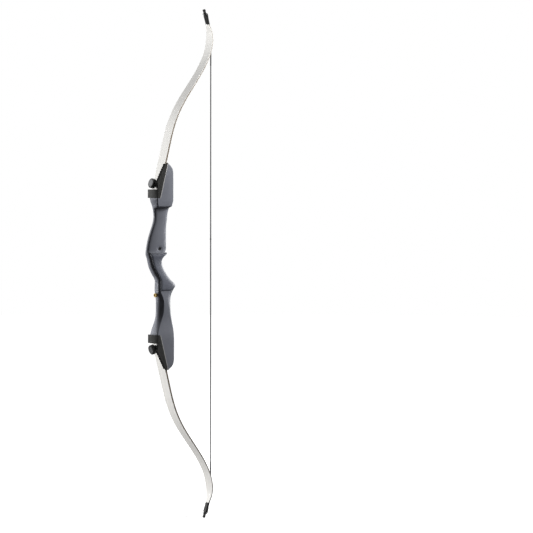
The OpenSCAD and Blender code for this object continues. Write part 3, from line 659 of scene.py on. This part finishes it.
@dataclass(frozen=True)
class LimbLine:
    """The line of the upper limb's middle, in millimetres from the bow's middle.

    Lengths run along the limb and start at its bolt.
    """

    seat: Span = LIMB_SEAT
    start_angle: float = LIMB_LEAN
    peak_angle: float = 37.0
    tip_angle: float = -17.5
    thickness: Span = (7.0, 3.6)
    butt_len: float = 35.5
    base_len: float = 120.0
    bend_len: float = 201.0
    recurve_len: float = 210.0
    recurve_power: float = 2.4
    taper_len: float = 58.0
    sleeve_gap: float = 10.5
    # Where the string parts into its loop's legs before the sleeve, and a nick below that
    part_len: float = 8.0
    part_nick: float = 0.1
    # Steps along the bend, the recurve, and the end taper before and under the string
    steps: tuple[int, int, int, int] = (12, 11, 3, 4)

    @property
    def recurve_start(self) -> float:
        """Length at which the recurve starts."""
        return self.base_len + self.bend_len

    @property
    def sleeve(self) -> float:
        """Length at which the tip's sleeve starts."""
        return self.recurve_start + self.recurve_len + self.sleeve_gap

    @property
    def taper(self) -> float:
        """Length at which the end taper starts."""
        return self.sleeve - self.taper_len

    @property
    def upright(self) -> float:
        """Length at which the limb runs straight up, where the string first touches it."""
        share = self.peak_angle / (self.peak_angle - self.tip_angle)
        return self.recurve_start + share ** (1 / self.recurve_power) * self.recurve_len

    def turn(self, length: float) -> float:
        """Finds the limb's angle from upright.

        Args:
            length: The place along the limb.

        Returns:
            The angle in radians.
        """
        if length <= self.base_len:
            angle = self.start_angle
        elif length <= self.recurve_start:
            share = (1 - math.cos(math.pi * (length - self.base_len) / self.bend_len)) / 2
            angle = self.start_angle + (self.peak_angle - self.start_angle) * share
        elif length <= self.recurve_start + self.recurve_len:
            share = ((length - self.recurve_start) / self.recurve_len) ** self.recurve_power
            angle = self.peak_angle - (self.peak_angle - self.tip_angle) * share
        else:
            angle = self.tip_angle
        return math.radians(angle)

    def thick(self, length: float) -> float:
        """Finds the limb's thickness.

        Args:
            length: The place along the limb.

        Returns:
            The thickness.
        """
        full = self.base_len / 2
        share = min(1.0, max(0.0, (length - full) / (self.taper - full)))
        return self.thickness[0] + (self.thickness[1] - self.thickness[0]) * share

    def places(self) -> list[tuple[float, Vector]]:
        """Walks along the limb, by the places that its own outline is made of.

        Returns:
            Their lengths from the butt to the sleeve, with the middle of the limb at each.
        """
        parting = self.sleeve - self.part_len - self.part_nick
        bounds = (self.base_len, self.recurve_start, self.taper, self.upright, parting)
        lengths = [-self.butt_len, self.base_len / 2]
        for low, high, steps in zip(bounds, bounds[1:], self.steps):
            lengths += [low + (high - low) * i / steps for i in range(steps)]
        lengths += [parting, self.sleeve]
        lean = math.radians(self.start_angle)
        along = Vector((math.sin(lean), 0.0, math.cos(lean)))
        outward = Vector((-math.cos(lean), 0.0, math.sin(lean)))
        point = (Vector((self.seat[0], 0.0, self.seat[1])) + outward * self.thickness[0] / 2
                 - along * self.butt_len)
        found = [(lengths[0], point)]
        for low, high in zip(lengths, lengths[1:]):
            angle = self.turn((low + high) / 2)
            point = point + (high - low) * Vector((math.sin(angle), 0.0, math.cos(angle)))
            found.append((high, point))
        return found


class TipFrame:
    """The upper tip's own frame, which starts at its sleeve."""

    def __init__(self, limb: LimbLine) -> None:
        """Takes the sleeve's place and lean from the limb.

        Args:
            limb: The limb's line.
        """
        _, self.root = limb.places()[-1]
        angle = limb.turn(limb.sleeve)
        self.out = Vector((math.cos(angle), 0.0, -math.sin(angle)))
        self.along = Vector((math.sin(angle), 0.0, math.cos(angle)))

    def place(self, reach: float, side: float, height: float) -> Vector:
        """Returns the place that lies so far out to the string's side, across and along."""
        return self.root + self.out * reach + self.along * height + Vector((0.0, side, 0.0))

    def nearest(self, points: list[Vector], height: float) -> float:
        """Returns how far out a line's point lies that is nearest to a height on the tip."""
        best = min(points, key=lambda p: abs((p - self.root).dot(self.along) - height))
        return (best - self.root).dot(self.out)


def smooth_path(points: list[Vector], step: float) -> list[Vector]:
    """Runs a smooth curve through points.

    Args:
        points: The points that the curve passes.
        step: Greatest distance between the curve's own points.

    Returns:
        The curve's points.
    """
    ends = [points[0] * 2 - points[1], *points, points[-1] * 2 - points[-2]]
    curve = []
    for before, low, high, after in zip(ends, ends[1:], ends[2:], ends[3:]):
        count = max(1, math.ceil((high - low).length / step))
        for i in range(count):
            t = i / count
            curve.append(0.5 * (2 * low + (high - before) * t
                                + (2 * before - 5 * low + 4 * high - after) * t ** 2
                                + (3 * low - before - 3 * high + after) * t ** 3))
    curve.append(points[-1])
    return curve


@dataclass
class Station:
    """One place along a cord: its point, two directions across it and its length so far."""

    point: Vector
    side: Vector
    up: Vector
    run: float

    def around(self, angle: float, radius: float) -> Vector:
        """Returns a point beside the cord's middle."""
        return self.point + radius * (math.cos(angle) * self.side + math.sin(angle) * self.up)

    def ring(self, sides: int, radius: float, start: float = 0.0) -> list[Vector]:
        """Returns points all round the cord, from an angle on."""
        return [self.around(math.tau * k / sides + start, radius) for k in range(sides)]


def stations(path: list[Vector]) -> list[Station]:
    """Carries one frame along a path without twist, starting across the bow.

    Args:
        path: The path's points.

    Returns:
        A station at each point.
    """
    found = []
    side = Vector((0.0, 1.0, 0.0))
    run = 0.0
    for i, point in enumerate(path):
        ahead = path[min(i + 1, len(path) - 1)] - path[max(i - 1, 0)]
        ahead.normalize()
        side = (side - side.dot(ahead) * ahead).normalized()
        run += (point - path[i - 1]).length if i else 0.0
        found.append(Station(point, side, ahead.cross(side), run))
    return found


class Skin:
    """A mesh under construction, in millimetres from the bow's middle."""

    def __init__(self) -> None:
        """Starts with no points."""
        self.points: list[Vector] = []
        self.faces: list[tuple[int, ...]] = []

    def tube(self, rings: list[list[Vector]]) -> None:
        """Adds a closed tube.

        Args:
            rings: The rings that it runs through, of equally many points.
        """
        start, count = len(self.points), len(rings[0])
        for ring in rings:
            self.points.extend(ring)
        for row in range(len(rings) - 1):
            low = start + row * count
            for k in range(count):
                right = (k + 1) % count
                self.faces.append((low + k, low + right, low + count + right, low + count + k))
        last = start + (len(rings) - 1) * count
        self.faces.append(tuple(start + k for k in reversed(range(count))))
        self.faces.append(tuple(last + k for k in range(count)))

    def piece(self, name: str, slot: str, paint: Paint, end: End = End.UPPER) -> Object:
        """Turns the points into a piece that rides on the bow.

        Args:
            name: The piece's name.
            slot: The finish's slot.
            paint: All finishes.
            end: The end that the piece belongs to, where the lower is the upper turned over.

        Returns:
            The piece.
        """
        mesh = bpy.data.meshes.new(name)
        # A face that is turned over runs the other way round
        faces = [face[::end.value] for face in self.faces]
        mesh.from_pydata([(x * MM, y * MM, (z * end.value - GRIP_RISE) * MM)
                          for x, y, z in self.points], [], faces)
        mesh.shade_smooth()
        mesh.materials.append(paint.by_slot[slot])
        made = bpy.data.objects.new(name, mesh)
        bpy.context.scene.collection.objects.link(made)
        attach(made, BOW_BODY)
        return made


@dataclass
class Bowstring:
    """The strung cord: twisted strands, wound servings, loops and the nocking point.

    Sizes are in millimetres, and heights run from the bow's middle.
    """

    paint: Paint
    limb: LimbLine = field(default_factory=LimbLine)
    radius: float = 1.7
    gap: float = 0.2
    # Distances between the path's points on the limb and on the straight
    limb_step: float = 2.0
    straight_step: float = 3.0
    # Points round a strand, round the core or the nocking thread, a serving and a loop
    strand_sides: int = 6
    core_sides: int = 8
    serving_sides: int = 16
    loop_sides: int = 14
    # The string lies as high as the sleeve this far before the sleeve's start
    lift_lead: float = 10.0
    # Strands, the length of one turn of their twist, and their core's share of its radius
    strands: int = 9
    lay: float = 36.0
    core_share: float = 0.5
    # The strands draw in to a share of their size over the length that the loop's legs take over
    drawn_in: float = 0.45
    blend_len: float = 34.0
    # Thread: width of a turn, and depth of the groove between turns
    thread: float = 0.9
    groove: float = 0.16
    serving_t: float = 0.4
    serving_top: float = 123.0 + GRIP_RISE
    serving_len: float = 190.0
    end_serving_len: float = 80.0
    end_serving_gap: float = 8.0
    # Points along a serving for each turn, and how far its ends taper over how many points
    turn_points: int = 5
    end_taper: float = 0.35
    taper_points: int = 6
    nocking_z: float = 62.0 + GRIP_RISE
    nocking_len: float = 4.0
    nocking_radius: float = 2.7
    nocking_turns: int = 4
    # Loop: radius of its cord, and how much thinner the legs start
    loop_radius: float = 1.6
    leg_draw: float = 0.75
    # The tip that the loop goes round
    sleeve_len: float = 31.0
    sleeve_t: float = 5.6
    waist_w: float = 6.5

    @property
    def loop_lift(self) -> float:
        """How far the loop's middle lies out from the sleeve's."""
        return self.sleeve_t / 2 + self.loop_radius + self.gap

    def over_limb(self) -> list[Vector]:
        """Lays the string on the limb.

        Returns:
            Its points, from its first touch on the limb to its end.
        """
        found = []
        nick = self.limb.part_nick / 2
        for length, middle in self.limb.places():
            if self.limb.upright - nick < length < self.limb.sleeve - nick:
                angle = self.limb.turn(length)
                share = (length - self.limb.taper) / (self.limb.taper_len - self.lift_lead)
                lift = (max(self.limb.thick(length) / 2, self.sleeve_t / 2 * share)
                        + self.radius + self.gap)
                found.append(middle + lift * Vector((math.cos(angle), 0.0, -math.sin(angle))))
        return found

    def upper_line(self) -> list[Vector]:
        """Returns the string's path on the upper limb."""
        return smooth_path(self.over_limb(), self.limb_step)

    def main_line(self) -> list[Vector]:
        """Joins the string's path from end to end.

        Returns:
            The whole string's points, from its lower end to its upper end.
        """
        end = self.upper_line()
        top = end[0]
        count = math.ceil(2 * top.z / self.straight_step)
        straight = [Vector((top.x, 0.0, top.z * (2 * i / count - 1))) for i in range(1, count)]
        return [Vector((p.x, 0.0, -p.z)) for p in reversed(end)] + straight + end

    def build_strands(self) -> Object:
        """Twists the strands, which draw in where the loop's two legs take over.

        Returns:
            The twisted string.
        """
        skin = Skin()
        line = stations(self.main_line())
        total = line[-1].run
        bite = math.sin(math.pi / self.strands)
        spiral = self.radius / (1 + bite)
        for strand in range(self.strands):
            rings = []
            for here in line:
                left = min(here.run, total - here.run)
                share = self.drawn_in + (1 - self.drawn_in) * min(1.0, left / self.blend_len)
                turn = math.tau * (here.run / self.lay + strand / self.strands)
                middle = Station(here.around(turn, spiral * share), here.side, here.up, here.run)
                rings.append(middle.ring(self.strand_sides, spiral * bite * share, turn))
            skin.tube(rings)
        skin.tube([here.ring(self.core_sides, self.core_share * spiral) for here in line])
        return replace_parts(skin.piece("twisted_string", "string_fibre", self.paint), "bowstring")

    def wound(self, path: list[Vector], radius: list[float], sides: int) -> Skin:
        """Winds thread round a cord, turn beside turn.

        Args:
            path: The cord's points, a quarter of a turn apart or closer.
            radius: Outer radius at each point.
            sides: Points round the cord.

        Returns:
            The wound cord.
        """
        skin = Skin()
        skin.tube([
            [here.around(math.tau * k / sides, out - self.groove
                         * abs(math.sin(math.pi * (here.run / self.thread - k / sides))))
             for k in range(sides)]
            for here, out in zip(stations(path), radius)])
        return skin

    def serving(self, low: float, length: float) -> Skin:
        """Serves the straight string, and tapers the serving's ends under the thread.

        Args:
            low: Height of the serving's lower end.
            length: Its length.

        Returns:
            The serving.
        """
        count = math.ceil(length / (self.thread / self.turn_points))
        x = self.over_limb()[0].x
        path = [Vector((x, 0.0, low + length * i / count)) for i in range(count + 1)]
        full = self.radius + self.serving_t
        radius = [full - self.end_taper * max(0.0, 1 - min(i, count - i) / self.taper_points)
                  for i in range(count + 1)]
        return self.wound(path, radius, self.serving_sides)

    def at_both_ends(self, skin: Skin, name: str, node: str) -> list[Object]:
        """Makes a piece of fibre for each end of the bow.

        Args:
            skin: The upper piece's mesh.
            name: The piece's name without its end.
            node: The CAD node that it stands for, without its end.

        Returns:
            The two pieces.
        """
        made = []
        for end in End:
            piece = skin.piece(f"{end.label}_{name}", "string_fibre", self.paint, end)
            made.append(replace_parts(piece, f"{end.label}_{node}"))
        return made

    def build_servings(self) -> list[Object]:
        """Serves the string's middle and both its ends.

        Returns:
            The three servings.
        """
        middle = self.serving(self.serving_top - self.serving_len, self.serving_len)
        piece = middle.piece("wound_centre_serving", "serving_thread", self.paint)
        low = self.over_limb()[0].z - self.end_serving_gap - self.end_serving_len
        return [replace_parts(piece, "centre_serving"),
                *self.at_both_ends(self.serving(low, self.end_serving_len),
                                   "wound_end_serving", "end_serving")]

    def build_nocking_point(self) -> Object:
        """Ties the nocking point: a few turns of thicker thread on the serving.

        Returns:
            The nocking point.
        """
        steps = 20
        thick = self.nocking_len / (2 * self.nocking_turns)
        x = self.over_limb()[0].x
        middle = self.nocking_radius - thick
        path = []
        for i in range(self.nocking_turns * steps - steps // 2):
            turn = math.tau * i / steps
            z = self.nocking_z - self.nocking_len / 2 + thick * (1 + 2 * i / steps)
            path.append(Vector((x + middle * math.cos(turn), middle * math.sin(turn), z)))
        skin = Skin()
        skin.tube([here.ring(self.core_sides, thick) for here in stations(path)])
        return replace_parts(skin.piece("tied_nocking_point", "serving_thread", self.paint),
                           "nocking_point")

    def loop_line(self) -> list[Vector]:
        """Lists the loop's route, whose legs start back along the string.

        Returns:
            Its points in the tip's frame, from one leg's start to the other's.
        """
        length, reach, lift = self.sleeve_len, self.loop_radius, self.loop_lift
        half_t = self.sleeve_t / 2
        top = length + reach + 1.6
        side = self.waist_w / 2 + reach + self.gap
        leg = [
            (lift + 0.1, 0.7, -self.blend_len), (lift + 0.1, 1.2, -self.blend_len / 2),
            (lift, reach + 0.05, -self.limb.part_len), (lift, 2.6, 8.0), (lift, 3.9, 18.0),
            (lift, side, length - 5), (lift, side, length + 0.2),
            (half_t + reach / 2, side, length + reach + 0.4), (0.0, side, top),
            (-half_t - reach / 2, side, top + 0.2), (-lift, side - reach, top + 0.3),
        ]
        other = [(x, -y, z) for x, y, z in reversed(leg)]
        return [Vector(p) for p in leg + [(-lift, 0.0, top + 0.3)] + other]

    def build_loops(self) -> list[Object]:
        """Winds a loop for each tip, whose legs grow out of the twisted string.

        Returns:
            The two loops.
        """
        tip = TipFrame(self.limb)
        string = self.upper_line()
        parting = self.limb.part_len
        path, radius = [], []
        for point in smooth_path(self.loop_line(), self.thread / 4):
            below = min(1.0, max(0.0, (-point.z - parting) / (self.blend_len - parting)))
            bend = tip.nearest(string, point.z) - self.loop_lift if point.z <= -parting else 0.0
            path.append(tip.place(point.x + bend, point.y, point.z))
            radius.append(self.loop_radius - self.leg_draw * below)
        return self.at_both_ends(self.wound(path, radius, self.loop_sides),
                                 "wound_loop", "string_loop")

    def build(self) -> list[Object]:
        """Makes and returns every piece of the string."""
        return [self.build_strands(), *self.build_servings(), self.build_nocking_point(),
                *self.build_loops()]


# Studio


@dataclass(frozen=True)
class Softbox:
    """A soft square lamp that faces the bow.

    Its angles round the bow are in degrees, its distance from the grip and its width in metres,
    and its power in watts.
    """

    name: str
    azimuth: float
    elevation: float
    away: float
    width: float
    power: float


@dataclass(frozen=True)
class Patch:
    """A round part of the room with a soft edge, given by dot products with its direction."""

    towards: Direction
    strength: float
    edge: Span

    def light(self, nodes: Nodes, ray: NodeSocket, around: float) -> NodeSocket:
        """Returns the strength along a ray, with another strength around the patch."""
        return nodes.spread(nodes.dot(ray, self.towards), around, self.strength, *self.edge,
                            smooth=True)


@dataclass
class Studio:
    """Camera, lamps, floor and backdrop, in degrees and metres."""

    azimuth: float = -34.0
    elevation: float = 3.0
    distance: float = 8.0
    target: Direction = (0.093, 0.0, -0.017)
    frame_width: float = 1.647
    shift: Span = (0.151, -0.002)
    softboxes: tuple[Softbox, ...] = (
        Softbox("right_softbox", 47.0, 31.0, away=1.3, width=0.6, power=32.0),
        Softbox("left_softbox", -147.0, -5.0, away=3.5, width=1.4, power=350.0))
    # Light from all round on matt faces, and in polish
    ambient: float = 0.16
    gloss: float = 1.0
    # The room's light opposite its dark side and on that side
    dark_side: Direction = (-0.35, -0.94, 0.0)
    room: Span = (1.05, 0.35)
    # The black flag that shows in the polish of the target-side bevels
    flag: Patch = Patch((-0.906, -0.423, 0.0), 0.03, (0.55, 0.80))
    # Bright panels, which show in the polish of the string-side curves and of the target side
    panels: tuple[Patch, ...] = (Patch((1.0, 0.03, 0.0), 4.0, (0.84, 0.93)),
                                 Patch((-0.559, 0.829, 0.0), 0.6, (0.84, 0.93)))
    floor_drop: float = 0.001
    floor_radius: float = 9.0
    floor_sides: int = 64
    # Tone of the floor to the camera, and as it lights the bow
    floor_seen: float = 0.86
    floor_lit: float = 0.14
    # The floor's own glow to the camera, from near the bow to further off
    glow: Span = (0.25, 1.0)
    glow_reach: Span = (0.4, 2.0)

    def hang(self, data: bpy.types.ID, azimuth: float, elevation: float, away: float,
             aim: Direction = (0.0, 0.0, 0.0)) -> Object:
        """Puts up a camera or lamp, which looks at a point.

        Args:
            data: The camera or lamp.
            azimuth: Its angle round the point.
            elevation: Its angle above the floor.
            away: Its distance from the point.
            aim: The point.

        Returns:
            The object that holds it.
        """
        turn, rise = math.radians(azimuth), math.radians(elevation)
        towards = Vector((math.sin(turn) * math.cos(rise), -math.cos(turn) * math.cos(rise),
                          math.sin(rise)))
        made = bpy.data.objects.new(data.name, data)
        made.location = Vector(aim) + towards * away
        made.rotation_mode = "QUATERNION"
        made.rotation_quaternion = (-towards).to_track_quat("-Z", "Y")
        bpy.context.scene.collection.objects.link(made)
        return made

    def camera(self) -> None:
        """Places the camera at the photograph's viewing angle."""
        data = bpy.data.cameras.new("camera")
        data.sensor_width = 36.0
        data.lens = data.sensor_width * self.distance / self.frame_width
        data.shift_x, data.shift_y = self.shift
        data.clip_end = 100.0
        bpy.context.scene.camera = self.hang(
            data, self.azimuth, self.elevation, self.distance, self.target)

    def lamps(self) -> None:
        """Hangs the softboxes, which face the bow and don't show in its polish."""
        for box in self.softboxes:
            data = bpy.data.lights.new(box.name, "AREA")
            data.shape = "SQUARE"
            data.size = box.width
            data.energy = box.power
            made = self.hang(data, box.azimuth, box.elevation, box.away)
            made.visible_glossy = False
            made.visible_camera = False

    def world(self) -> None:
        """Makes the backdrop white, and the room darker on the camera's side."""
        made = bpy.data.worlds.new("studio")
        made.use_nodes = True
        bpy.context.scene.world = made
        nodes = Nodes(made.node_tree)
        sky = nodes.tree.nodes["Background"]
        sky.inputs["Color"].default_value = (1.0, 1.0, 1.0, 1.0)
        glossy = nodes.add("LightPath").outputs["Is Glossy Ray"]
        ray = nodes.add("TexCoord").outputs["Generated"]
        room = nodes.spread(nodes.dot(ray, self.dark_side), *self.room, -1.0, 1.0)
        room = nodes.math("MULTIPLY", room, self.flag.light(nodes, ray, 1.0))
        share = nodes.spread(glossy, self.ambient, self.gloss, 0.0, 1.0)
        light = nodes.math("MULTIPLY", room, share)
        for panel in self.panels:
            shown = nodes.math("MULTIPLY", panel.light(nodes, ray, 0.0), glossy)
            light = nodes.math("ADD", light, shown)
        nodes.link(nodes.math("MAXIMUM", light, nodes.seen()), sky.inputs["Strength"])

    def floor_finish(self) -> bpy.types.Material:
        """Makes the floor white to the camera but for the bow's shadow, and darker as a light.

        Returns:
            The floor's material.
        """
        lit, seen_tone = [(tone, tone, tone) for tone in (self.floor_lit, self.floor_seen)]
        pale = Material("floor", seen_tone, 1.0)
        pale.set("Specular IOR Level", 0.0)
        seen = pale.seen()
        pale.tint(pale.blend(seen, lit, seen_tone))
        away = pale.add("VectorMath", pale.place(), operation="LENGTH").outputs["Value"]
        backlight = pale.spread(away, *self.glow, *self.glow_reach, smooth=True)
        glow = pale.add("Emission", Strength=pale.math("MULTIPLY", seen, backlight))
        both = pale.add("AddShader", pale.shader.outputs[0], glow.outputs[0])
        pale.link(both.outputs[0], pale.tree.nodes["Material Output"].inputs["Surface"])
        return pale.data

    def floor(self) -> None:
        """Lays a round floor just below the bow."""
        low = CAD_BOX[0][2] - self.floor_drop
        sides = self.floor_sides
        mesh = bpy.data.meshes.new("floor")
        mesh.from_pydata([(self.floor_radius * math.cos(math.tau * i / sides),
                           self.floor_radius * math.sin(math.tau * i / sides), low)
                          for i in range(sides)], [], [tuple(range(sides))])
        made = bpy.data.objects.new("floor", mesh)
        bpy.context.scene.collection.objects.link(made)
        mesh.materials.append(self.floor_finish())

    def build(self) -> None:
        """Sets up everything that isn't the bow."""
        bpy.context.scene.view_settings.view_transform = "Standard"
        self.camera()
        self.world()
        self.lamps()
        self.floor()


def main() -> None:
    """Builds the studio and the string, and dresses every piece of the bow."""
    Studio().build()
    paint = Paint()
    smoothing = Smoothing()
    for row in frame["record"]["subparts"]:
        paint.dress(row["node"], row["material_slot"])
        smoothing.on(frame["nodes"][row["node"]])
        log.info("dressed %s", row["node"])
    for piece in Bowstring(paint).build():
        log.info("made %s", piece.name)


if __name__ == "__main__":
    main()
